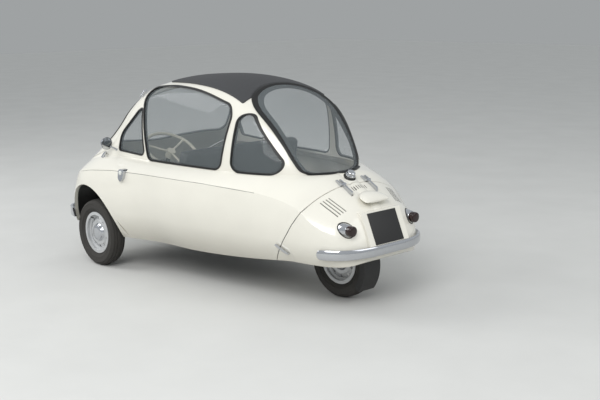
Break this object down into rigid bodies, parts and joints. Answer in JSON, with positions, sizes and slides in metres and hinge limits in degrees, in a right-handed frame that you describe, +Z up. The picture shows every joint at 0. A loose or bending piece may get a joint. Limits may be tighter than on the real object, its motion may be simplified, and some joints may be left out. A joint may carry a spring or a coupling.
{
  "type": "three-wheeled microcar",
  "caption": "Small bubble-shaped three-wheeled car with a front-opening door, fabric roof, rear glass dome and a hinged tail lid over the engine.",
  "frame": {"origin": "on the ground, on the centre plane, midway between the front and rear axles", "axes": "+X to the front of the car, +Y to its left, +Z up"},
  "size_m": [2.5619, 1.4212, 1.3261],
  "materials": {
    "body_paint": "gloss off-white paint",
    "dark_fabric": "dark grey woven roof cloth",
    "glass": "clear pane",
    "seal": "black gasket",
    "bright_metal": "polished trim",
    "alloy": "satin bare metal",
    "tyre": "black tyre",
    "wheel_paint": "silver paint",
    "lamp_red": "red lens in a bright ring",
    "lamp_clear": "clear ribbed lens",
    "seat_cover": "black seat cloth",
    "chassis": "black chassis paint",
    "control_plastic": "pale plastic",
    "iron": "engine casting"
  },
  "bodies": {
    "body": {"body_shell": "body_paint", "body_upper": "body_paint", "rear_deck": "body_paint", "floor_pan": "chassis", "rear_bulkhead": "body_paint", "wheel_arch_liners": "chassis", "side_glass": "glass", "side_window_seals": "seal", "rear_dome": "glass", "rear_dome_seal": "seal", "fabric_roof": "dark_fabric", "front_bumpers": "bright_metal", "headlamps": "lamp_clear", "side_indicators": "bright_metal", "filler_cap": "bright_metal", "mirror": "bright_metal", "hinge_brackets": "bright_metal", "steering_column": "chassis", "seat_frame": "chassis", "seat_cushion": "seat_cover", "seat_back": "seat_cover", "rear_seat": "seat_cover", "front_axle": "chassis", "rear_arm": "chassis", "rear_mudguard": "chassis", "engine_block": "iron", "floor_controls": "chassis", "gear_lever": "chassis"},
    "front_door": {"front_door": "body_paint", "windscreen": "glass", "windscreen_seal": "seal", "door_hinge_arms": "bright_metal", "door_handle": "bright_metal"},
    "engine_lid": {"engine_lid": "body_paint", "lid_hinge_arms": "bright_metal", "plate_panel": "body_paint", "plate_lamp": "body_paint", "tail_lamps": "lamp_red", "rear_bumper": "bright_metal", "lid_latches": "bright_metal"},
    "steering_wheel": {"steering_wheel": "control_plastic"},
    "left_knuckle": {"knuckle_left": "iron"},
    "right_knuckle": {"knuckle_right": "iron"},
    "left_wheel": {"front_tyre_left": "tyre", "front_rim_left": "wheel_paint"},
    "right_wheel": {"front_tyre_right": "tyre", "front_rim_right": "wheel_paint"},
    "rear_wheel": {"rear_tyre": "tyre", "rear_rim": "wheel_paint"}
  },
  "joints": [
    {"name": "left_steer", "type": "hinge", "parent": "body", "child": "left_knuckle", "pos_m": [0.88, 0.54, 0.23], "axis": [0, 0, 1], "range_deg": [-30, 30]},
    {"name": "right_steer", "type": "hinge", "parent": "body", "child": "right_knuckle", "pos_m": [0.88, -0.54, 0.23], "axis": [0, 0, 1], "range_deg": [-30, 30]},
    {"name": "steering_column_turn", "type": "hinge", "parent": "body", "child": "steering_wheel", "pos_m": [0.528, 0.25, 0.778], "axis": [-0.5587, 0, 0.8294], "range_deg": [-245, 245]},
    {"name": "left_wheel_spin", "type": "hinge", "parent": "left_knuckle", "child": "left_wheel", "pos_m": [0.88, 0.61, 0.23], "axis": [0, 1, 0], "continuous": true},
    {"name": "right_wheel_spin", "type": "hinge", "parent": "right_knuckle", "child": "right_wheel", "pos_m": [0.88, -0.61, 0.23], "axis": [0, 1, 0], "continuous": true},
    {"name": "rear_wheel_spin", "type": "hinge", "parent": "body", "child": "rear_wheel", "pos_m": [-0.88, 0, 0.23], "axis": [0, 1, 0], "continuous": true},
    {"name": "front_door_hinge", "type": "hinge", "parent": "body", "child": "front_door", "pos_m": [0.832, 0.59, 0.775], "axis": [-0.5176, -0.3006, 0.8011], "range_deg": [0, 75]},
    {"name": "engine_lid_hinge", "type": "hinge", "parent": "body", "child": "engine_lid", "pos_m": [-0.99, 0, 0.727], "axis": [0, 1, 0], "range_deg": [0, 50]}
  ],
  "couplings": [
    {"joint": "right_steer", "follows": "left_steer", "ratio": 1},
    {"joint": "steering_column_turn", "follows": "left_steer", "ratio": 8}
  ]
}
